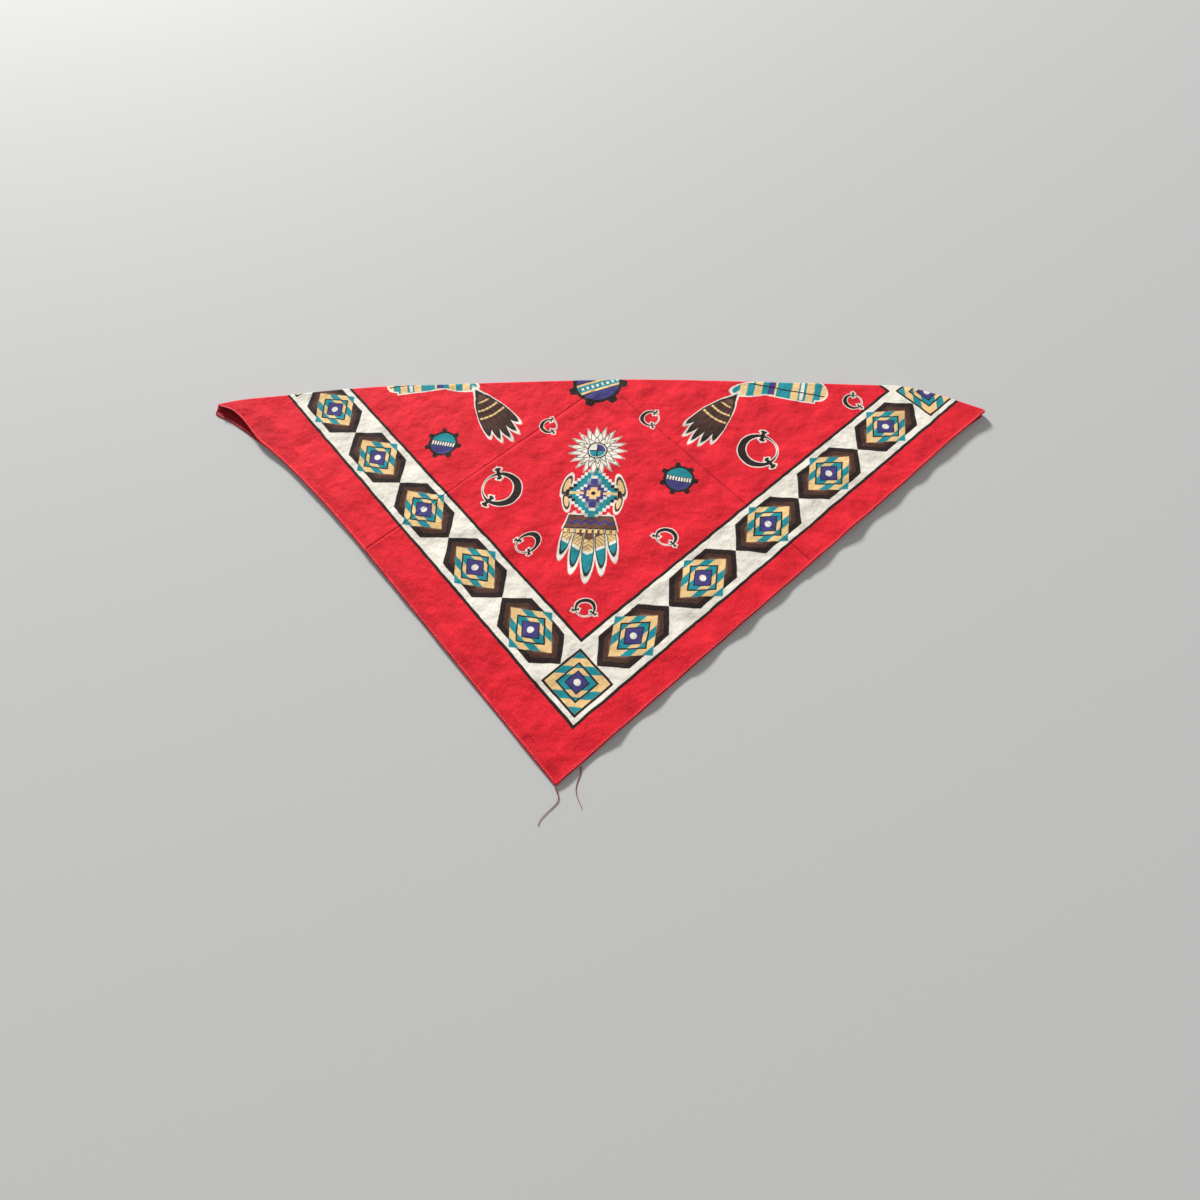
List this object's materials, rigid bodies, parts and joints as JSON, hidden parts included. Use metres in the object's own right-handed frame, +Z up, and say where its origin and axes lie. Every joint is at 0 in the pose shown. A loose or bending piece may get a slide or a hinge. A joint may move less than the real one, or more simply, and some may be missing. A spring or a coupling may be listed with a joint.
{
  "type": "folded bandana",
  "caption": "Square printed cotton bandana folded on its diagonal and laid flat, with sewn hems and two loose thread ends; the upper half turns up and over.",
  "frame": {"origin": "centre of the folded cloth's box in plan, on the surface it lies on", "axes": "+X along the fold to the right, +Y from the loose tips to the fold, +Z up"},
  "size_m": [0.7601, 0.4328, 0.0061],
  "materials": {
    "printed_cotton": "plain-weave printed cotton, matt",
    "sewing_thread": "spun polyester sewing thread, slight sheen"
  },
  "bodies": {
    "back_half": {"back_panel": "printed_cotton", "fold_band": "printed_cotton", "left_hem_end": "printed_cotton", "right_hem_end": "printed_cotton", "back_thread_tail": "sewing_thread", "back_left_hem": "printed_cotton", "back_left_needle_thread": "sewing_thread", "back_left_bobbin_thread": "sewing_thread", "back_right_hem": "printed_cotton", "back_right_needle_thread": "sewing_thread", "back_right_bobbin_thread": "sewing_thread"},
    "front_half": {"front_panel": "printed_cotton", "turn_strip": "printed_cotton", "front_thread_tail": "sewing_thread", "front_left_hem": "printed_cotton", "front_left_needle_thread": "sewing_thread", "front_left_bobbin_thread": "sewing_thread", "front_right_hem": "printed_cotton", "front_right_needle_thread": "sewing_thread", "front_right_bobbin_thread": "sewing_thread"}
  },
  "joints": [
    {"name": "front_half_turn", "type": "hinge", "parent": "back_half", "child": "front_half", "pos_m": [0, 0.13336, 0.00728], "axis": [-1, 0, 0], "range_deg": [0, 182], "deforming": ["turn_strip"]}
  ]
}
